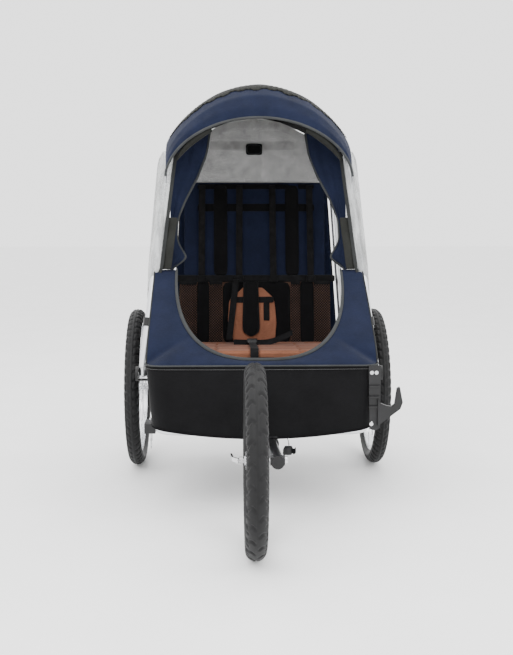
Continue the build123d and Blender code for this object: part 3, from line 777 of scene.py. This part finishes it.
def rear_net():
    """Pale net panel in the back of the hood, with a plain stitched patch."""
    def net_y(z):
        return back_y(NET_Z) + 0.012 + (z - NET_Z) * 0.09
    rows = []
    for i in range(19):
        z = NET_Z + (1.124 - NET_Z) * i / 18
        share = min(1.0, max(0.0, (z - 0.985) / 0.1395))
        half = float(np.interp(z, (NET_Z, 0.985), (0.216, 0.243)))
        half *= max(0.0, 1 - share ** 1.25) ** 0.5
        row = []
        for j in range(25):
            sag = 0.004 * sin(pi * j / 24) + ruffle(j * 0.3, 0.1, z, 3.0, 0.002)
            row.append(Vector((half * (-1 + j / 12), net_y(z) + sag, z)))
        rows.append(row)
    obj = surface("rear_net", rows, 0.0009, 1)
    finish(obj, "grey_mesh", nodes=("rear_mesh",))
    patch = slab("net_patch", -0.028, 0.028, 1.000, 1.038, lambda x, z: net_y(z) - 0.004, CLOTH, 4, 3)
    finish(patch, "black_cloth", LINING)
    corners = [(x, 1.004) for x in (-0.024, 0, 0.024)] + [(x, 1.034) for x in (0.024, 0, -0.024)]
    edge = [Vector((x, net_y(z) - 0.0056, z)) for x, z in corners]
    finish(tube("net_patch_stitch", edge, 0.0005, cyclic=True, sides=1), "black_cloth", STITCH)
    rim_points = [Vector((0.214 * (-1 + j / 12), net_y(NET_Z) - 0.003, 0.906)) for j in range(25)]
    finish(tube("net_lower_seam", rim_points, PIPING), "navy_cloth", PIPING_DARK)


def rear_cover():
    """Navy cover on the back of the cabin, with a shallow pocket."""
    def depth(x, z):
        sag = 0.004 * sin(pi * (x + 0.27) / 0.54)
        return rear_y(z) + 0.001 + sag + ruffle(x, 0.7, z, 7.0, 0.006)
    rows = []
    for i in range(19):
        z = 0.374 + (0.912 - 0.374) * i / 18
        half = float(np.interp(z, (0.402, 0.906), (0.275, 0.243)))
        rows.append([Vector((x, depth(x, z), z)) for x in (half * (-1 + j / 12) for j in range(25))])
    obj = surface("rear_cover_cloth", rows, CLOTH, 1)
    finish(obj, "navy_cloth", nodes=("rear_cover",))
    pocket = slab("rear_pocket", -0.185, 0.185, 0.440, 0.640, lambda x, z: depth(x, z) + 0.005,
                  CLOTH, 14, 8, puff=-0.012, crown=0.5)
    finish(pocket, "navy_cloth")
    edge = [Vector((x, depth(x, 0.640) + 0.006, 0.640)) for x in np.linspace(-0.185, 0.185, 15)]
    finish(tube("rear_pocket_piping", edge, PIPING), "navy_cloth", PIPING_LIGHT)
    for side, name in SIDES:
        edge = [row[0 if side < 0 else -1] + Vector((0, 0.002, 0)) for row in rows]
        finish(tube("rear_cover_piping_" + name, edge, PIPING), "navy_cloth", PIPING_DARK)


def shoulder_straps():
    """Four harness straps down the backrest, each through a slider at the waist."""
    for number, x in enumerate((-0.174, -0.050, 0.059, 0.183)):
        lean = 0.002 * (1 if x > 0 else -1)
        path = []
        for z in np.linspace(0.596, 0.900, 22):
            share = (z - 0.596) / 0.304
            slack = 0.003 * sin(9 * share + x * 20)
            path.append(Vector((x + lean * (1 - share), back_y(z) - 0.008 - slack, z)))
        strap = ribbon("shoulder_strap_%d" % number, path, (1, 0, 0), 0.0215, STRAP)
        finish(strap, "webbing", nodes=("shoulder_straps",) if number == 0 else ())


def waist_and_pockets():
    """Waist band, padded lower back, its black bands and net pockets."""
    band = slab("waist_band_cloth", -0.266, 0.266, 0.580, 0.603, on_back(0.004), 0.0050, 30, 3)
    finish(band, "webbing", nodes=("waist_band",))
    def quilt(x, z):
        channels = 0.0025 * cos((x + 1.6 * z) * 70.0)
        return back_y(z) + 0.009 + channels + ruffle(x, 0.3, z, 14.0, 0.003)
    pad = slab("lower_back_pad", -0.250, 0.250, 0.380, 0.582, quilt, 0.012, 60, 16)
    # The pad takes the darker rust copy as painted shade over the lower back.
    finish(pad, "rust_cloth", RUST_PAINTED_SHADE, nodes=("backrest_lower",))
    bands = ((-0.191, -0.151, LINING), (0.149, 0.194, LINING), (-0.108, 0.118, LINING))
    for number, (x0, x1, mat) in enumerate(bands):
        strip = slab("lower_band_%d" % number, x0, x1, 0.381, 0.582, on_back(0.0050), 0.0014, 5, 6)
        finish(strip, "webbing", mat)
    nets = ((-0.250, -0.191), (-0.151, -0.108), (0.118, 0.149), (0.194, 0.250))
    for number, (x0, x1) in enumerate(nets):
        swell = 0.012 if x1 - x0 > 0.05 else 0.003
        pocket = slab("net_pocket_%d" % number, x0, x1, 0.383, 0.580, on_back(0.0070), 0.0008, 10, 10,
                      puff=swell, crown=0.6)
        finish(pocket, "black_mesh", nodes=("mesh_pockets",) if number == 0 else ())
        hem = slab("net_hem_%d" % number, x0, x1, 0.572, 0.583, on_back(0.0085), 0.0020, 6, 2)
        finish(hem, "webbing")


def insert_half(z):
    """Left and right edges of the child seat's padded insert at height z."""
    heights = (0.382, 0.400, 0.450, 0.515, 0.533, 0.548, 0.562)
    left = (-0.070, -0.074, -0.090, -0.086, -0.078, -0.052, -0.040)
    right = (0.062, 0.066, 0.070, 0.064, 0.056, 0.038, 0.022)
    return float(np.interp(z, heights, left)), float(np.interp(z, heights, right))


def seat_insert():
    """Rust padded insert behind the harness, with seams fanning out from its foot."""
    rows = []
    for i in range(25):
        z = 0.382 + (0.562 - 0.382) * i / 24
        left, right = insert_half(z)
        row = []
        for j in range(33):
            s = j / 32
            x = left + (right - left) * s
            puff = 0.006 * (sin(pi * s) ** 0.4) * (sin(pi * (0.06 + 0.90 * i / 24)) ** 0.4)
            reach = max(0.02, z - 0.372)
            for lean in (-0.62, 0.66):
                puff -= 0.0035 * max(0.0, 1 - abs((x + 0.008) / reach - lean) / 0.07) ** 2
            row.append(Vector((x, back_y(z) - 0.0085 - puff, z)))
        rows.append(row)
    pad = surface("seat_insert", rows, 0.0060, 1)
    finish(pad, "rust_cloth")


def harness_buckles():
    """Strap sliders along the waist band, and the buckle behind the crotch pad."""
    for number, x in enumerate((-0.176, -0.052, 0.061, 0.185)):
        slider = slab("strap_slider_%d" % number, x - 0.015, x + 0.015, 0.579, 0.601,
                      lambda px, z, x=x: back_y(z) - 0.0105 + 8 * (px - x) ** 2, 0.0050, 6, 4)
        finish(slider, "black_plastic", MATS["webbing"],
               nodes=("harness_buckles",) if number == 0 else ())
    buckle = slab("harness_buckle", -0.030, 0.002, 0.464, 0.508, on_back(0.0170), 0.0040, 5, 6)
    finish(buckle, "black_plastic")


def crotch_pad():
    """Padded strap with a rounded lower end, its buckle, and the lap straps."""
    cx = -0.014
    rows = []
    for i in range(17):
        z = 0.408 + (0.582 - 0.408) * i / 16
        low = min(1.0, (z - 0.4075) / 0.026)
        half = 0.0265 * (1 - (1 - low) ** 2) ** 0.5 * (1 - 0.18 * i / 16)
        row = []
        for j in range(11):
            s = -1 + j / 5
            depth = 0.0205 + 0.0045 * (1 - s * s) ** 0.5
            row.append(Vector((cx + half * s, back_y(z) - depth, z)))
        rows.append(row)
    pad = surface("crotch_pad_cloth", rows, 0.0060, 1)
    finish(pad, "black_mesh", MATS["black_cloth"], nodes=("crotch_pad",))
    edge = [row[0] + Vector((0, -0.003, 0)) for row in reversed(rows)]
    edge += [row[-1] + Vector((0, -0.003, 0)) for row in rows]
    finish(tube("crotch_pad_binding", edge, 0.0026), "webbing")
    for name, x0, x1, z0, z1 in (("side_strap", -0.082, 0.062, 0.513, 0.533),
                                 ("lap_tab", 0.027, 0.047, 0.455, 0.515)):
        strap = slab(name, x0, x1, z0, z1, on_back(0.0175), 0.0016, 8, 4)
        finish(strap, "webbing")
    path = []
    for s in np.linspace(0, 1, 12):
        y = back_y(0.59 - 0.19 * s) - 0.019 - 0.02 * s
        path.append(Vector((-0.062 - 0.024 * s, y, 0.590 - 0.196 * s)))
    finish(ribbon("slanting_strap", path, (1, 0, 0), 0.021, STRAP), "webbing")
    path = []
    for x in np.linspace(-0.072, 0.118, 16):
        y = SEAT[1].y - 0.060 - 0.030 * cos((x - 0.01) * 12)
        z = cushion_top(SEAT[1].y - 0.08) + 0.006 + 0.9 * max(0.0, x - 0.03) ** 1.4
        path.append(Vector((x, y, z)))
    finish(ribbon("lap_strap", path, (0, 0.6, 0.8), 0.022, STRAP), "webbing")
    buckle = slab("lap_buckle", -0.030, 0.004, 0.392, 0.408,
                  lambda x, z: SEAT[1].y - 0.098 + (z - 0.4) * 0.6, 0.007, 5, 3)
    finish(buckle, "black_plastic")
    top, front = SEAT[1].z + 0.003, SEAT[0].y
    path = [Vector((-0.012, y, cushion_top(y) + 0.005))
            for y in np.linspace(SEAT[1].y - 0.09, front + 0.06, 8)]
    path += [Vector((-0.012, front + 0.03, top + 0.001)),
             Vector((-0.013, front + 0.012, top - 0.001)),
             Vector((-0.013, front - 0.003, top - 0.012)),
             Vector((-0.013, front - 0.004, top - 0.030))]
    finish(ribbon("seat_strap", path, (1, 0, 0), 0.024, STRAP), "webbing", fold=False)


def cushion_top(y):
    """Height of the bench's top at y: it falls towards the backrest."""
    share = (y - SEAT[0].y) / (SEAT[1].y - SEAT[0].y)
    return SEAT[1].z - 0.021 * min(1.0, max(0.0, share))


def seat_cushion():
    """Bench cushion: a crowned pad, inflated by simulation, with sewn channels."""
    low, high = SEAT
    size = high - low
    nx, ny, nz = 42, 30, 4
    inset = 0.006
    points, faces = [], []

    def cap(z, sign):
        start = len(points)
        for i in range(ny + 1):
            for j in range(nx + 1):
                points.append(Vector((low.x + inset + (size.x - 2 * inset) * j / nx,
                                      low.y + inset + (size.y - 2 * inset) * i / ny, z)))
        for i in range(ny):
            for j in range(nx):
                a = start + i * (nx + 1) + j
                quad = (a, a + 1, a + nx + 2, a + nx + 1)
                faces.append(quad if sign > 0 else quad[::-1])
        return start

    bottom = cap(low.z + 0.003, -1)
    upper = cap(high.z - 0.008, 1)
    border = list(range(nx + 1)) + [i * (nx + 1) + nx for i in range(1, ny + 1)]
    border += [ny * (nx + 1) + j for j in range(nx - 1, -1, -1)]
    border += [i * (nx + 1) for i in range(ny - 1, 0, -1)]
    for a, b in zip(border, border[1:] + border[:1]):
        faces.append((bottom + a, bottom + b, upper + b, upper + a))
    obj = mesh_object("bench_cushion", points, faces)
    inflate(obj, 0.007)
    mesh = obj.data
    for vertex in mesh.vertices:
        p = vertex.co
        if p.z > (low.z + high.z) / 2:
            for x in (-0.125, 0.0, 0.125):
                p.z -= 0.0050 * max(0.0, 1 - abs(p.x - x) / 0.007) ** 2
            for y in (low.y + 0.10, low.y + 0.22):
                p.z -= 0.0040 * max(0.0, 1 - abs(p.y - y) / 0.007) ** 2
            p.z += cushion_top(p.y) - high.z
        p.z = min(max(p.z, low.z), high.z + 0.004)
        p.y = max(p.y, low.y - 0.002)
    mesh.shade_smooth()
    finish(obj, "rust_cloth", nodes=("seat_cushion",), fold=False)
    ring = [Vector((low.x + 0.010 + (size.x - 0.020) * k, low.y + 0.001, low.z + 0.012))
            for k in np.linspace(0, 1, 20)]
    finish(tube("bench_piping", ring, PIPING), "webbing", LINING, fold=False)


def inflate(obj, cap):
    """Swells a closed pad with cloth pressure; no point moves further than cap."""
    remesh = obj.modifiers.new("voxels", "REMESH")
    remesh.mode = "VOXEL"
    remesh.voxel_size = 0.006
    apply(obj)
    rest = [v.co.copy() for v in obj.data.vertices]
    sim = obj.modifiers.new("cloth", "CLOTH")
    sim.settings.use_pressure = True
    sim.settings.uniform_pressure_force = 4.0
    sim.settings.effector_weights.gravity = 0.0
    sim.settings.quality = 4
    scene = bpy.context.scene
    scene.frame_start, scene.frame_end = 1, 16
    for number in range(1, 17):
        scene.frame_set(number)
    apply(obj)
    scene.frame_set(1)
    for vertex, start in zip(obj.data.vertices, rest):
        step = vertex.co - start
        if step.length > cap:
            vertex.co = start + step.normalized() * cap
    obj.modifiers.new("smooth", "SUBSURF").levels = 1
    apply(obj)


# ---------------------------------------------------------------- tyres

def tyre(name, body, node, wheel_r, tyre_r, groove):
    """Tyre with a moulded tread; groove(a, w) is the depth at angle a and width w from -1 to 1."""
    lowest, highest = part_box(node)
    centre = (lowest + highest) / 2
    ring = wheel_r - tyre_r
    around, section = 640, 46
    points = []
    spread = radians(147)
    for i in range(around):
        a = 2 * pi * i / around
        for j in range(section + 1):
            w = -1 + 2 * j / section
            angle = w * spread
            depth = groove(a, w) if abs(w) < 0.62 else 0.0
            r = tyre_r - 0.0004 - depth
            squat = 1 - 0.04 * cos(angle)
            radial = ring + r * cos(angle) * (squat + 0.04)
            points.append(centre + Vector((r * sin(angle), radial * cos(a), radial * sin(a))))
    count = section + 1
    faces = [(i * count + j, ((i + 1) % around) * count + j, ((i + 1) % around) * count + j + 1,
              i * count + j + 1) for i in range(around) for j in range(section)]
    obj = mesh_object(name, points, faces)
    solid = obj.modifiers.new("casing", "SOLIDIFY")
    solid.thickness = 0.0030
    solid.offset = -1.0
    finish(obj, "tyre", body=body, nodes=(node,), fold=False)


def edge_step(value, width):
    """Soft-edged pulse, 1 within width of zero."""
    return max(0.0, min(1.0, 1.6 - abs(value) / width))


def block_tread(a, w):
    """Block tread with centre rib lines, for the rear wheels."""
    pitch = a * 58 / (2 * pi)
    phase = pitch - int(pitch)
    depth = 0.0022 * max(edge_step(w - 0.075, 0.026), edge_step(w + 0.075, 0.026))
    if abs(w) > 0.12:
        skew = (phase + abs(w) * 0.9 + (0.5 if w > 0 else 0.0)) % 1.0
        depth = max(depth, 0.0034 * edge_step(skew - 0.5, 0.13))
        depth = max(depth, 0.0028 * edge_step(abs(w) - 0.30, 0.026))
    return depth


def swirl_tread(a, w):
    """Centre groove with curved sweeping cuts, for the front wheel."""
    pitch = a * 30 / (2 * pi)
    phase = (pitch + (0.5 if w > 0 else 0.0)) % 1.0
    depth = 0.0026 * edge_step(w, 0.030)
    if abs(w) > 0.07:
        bend = 0.55 * abs(w) ** 0.5 + 0.25 * sin(abs(w) * 9.0)
        depth = max(depth, 0.0034 * edge_step(((phase + bend) % 1.0) - 0.5, 0.085))
        if abs(w) > 0.34:
            depth = max(depth, 0.0030 * edge_step((((phase * 2) + bend) % 1.0) - 0.5, 0.12))
    return depth


def wheels():
    """All three tyres."""
    front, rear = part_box("front_tyre"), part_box("rear_tyre_left")
    tyre("front_tyre_rubber", "front_wheel", "front_tyre", (front[1].z - front[0].z) / 2,
         (front[1].x - front[0].x) / 2, swirl_tread)
    for side in ("left", "right"):
        tyre("rear_tyre_rubber_" + side, "rear_wheel_" + side, "rear_tyre_" + side,
             (rear[1].z - rear[0].z) / 2, (rear[1].x - rear[0].x) / 2, block_tread)


def safety_strap():
    """Webbing loop beside the arm, with its buckle."""
    low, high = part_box("safety_strap")
    y = (low.y + high.y) / 2
    path = [Vector((low.x + dx, y, high.z - dz)) for dx, dz in
            ((0.001, 0.012), (0.006, 0.004), (0.014, 0.001), (0.022, 0.004), (0.028, 0.012),
             (0.031, 0.024), (0.031, 0.034))]
    strap = ribbon("safety_strap_webbing", path, (0, 1, 0), 0.020, 0.0018)
    finish(strap, "webbing", nodes=("safety_strap",), fold=False)
    shape = ((0.0, 0.006), (0.2, 0.011), (0.5, 0.013), (0.62, 0.010), (0.78, 0.0125), (1.0, 0.008))
    rows = []
    for share, half in shape:
        z = low.z + 0.001 + 0.026 * (1 - share)
        lean = -0.004 * share
        rows.append([Vector((high.x - 0.014 + lean + half * k, y - 0.003 * (1 - k * k), z))
                     for k in (-1, -0.9, -0.4, 0, 0.4, 0.9, 1)])
    buckle = surface("safety_buckle", rows, 0.011, 1)
    finish(buckle, "black_plastic", fold=False)
    loose = [Vector((high.x - 0.006 + 0.012 * t, y - 0.008, low.z + 0.018 - 0.006 * sin(3 * t)))
             for t in np.linspace(0, 1, 6)]
    finish(ribbon("safety_strap_end", loose, (0, 0.4, 1), 0.016, STRAP), "webbing", fold=False)


# ---------------------------------------------------------------- stage

def stage():
    """Pale floor, soft studio light and the camera."""
    corners = [(-30, -30, 0), (30, -30, 0), (30, 30, 0), (-30, 30, 0)]
    floor = mesh_object("floor", corners, [(0, 1, 2, 3)])
    mat, tree, shader = material("floor paper", (0.93, 0.93, 0.93), 0.9)
    patches = noise_node(tree, coordinates(tree), 3.0)
    tint = ramp(tree, patches, (0.92, 0.92, 0.92), (0.95, 0.95, 0.95))
    tree.links.new(tint, shader.inputs["Base Color"])
    floor.data.materials.append(mat)
    world = bpy.data.worlds.new("studio")
    world.use_nodes = True
    world.node_tree.nodes["Background"].inputs["Color"].default_value = (1.0, 1.0, 1.0, 1.0)
    world.node_tree.nodes["Background"].inputs["Strength"].default_value = 2.3
    bpy.context.scene.world = world
    for name, place, size, power in (("key", (-1.8, -2.6, 3.2), 2.4, 90.0),
                                     ("fill", (2.4, -2.2, 2.2), 2.0, 45.0),
                                     ("top", (0.0, 0.4, 3.6), 3.0, 60.0)):
        light = bpy.data.lights.new(name, "AREA")
        light.energy = power
        light.size = size
        lamp = bpy.data.objects.new(name, light)
        lamp.location = place
        aim = Vector((0, 0, 0.6)) - Vector(place)
        lamp.rotation_euler = aim.to_track_quat("-Z", "Y").to_euler()
        bpy.context.scene.collection.objects.link(lamp)
    camera = bpy.data.cameras.new("camera")
    camera.lens, camera.sensor_width = 52.87, 36.0
    holder = bpy.data.objects.new("camera", camera)
    yaw, pitch = radians(1.757), radians(6.161)
    holder.location = (-0.0923, AXLE_Y - 3.0753, 0.7716)
    look = Vector((sin(yaw) * cos(pitch), cos(yaw) * cos(pitch), -sin(pitch)))
    holder.rotation_euler = look.to_track_quat("-Z", "Y").to_euler()
    bpy.context.scene.collection.objects.link(holder)
    bpy.context.scene.camera = holder


for build in (stage, hood, hood_band, hood_trim, rolled_cover, side_windows, pillar_panels,
              front_skirt, front_panel, sling, rear_net, rear_cover, shoulder_straps,
              waist_and_pockets, seat_insert, harness_buckles, crotch_pad, seat_cushion, wheels,
              safety_strap):
    build()
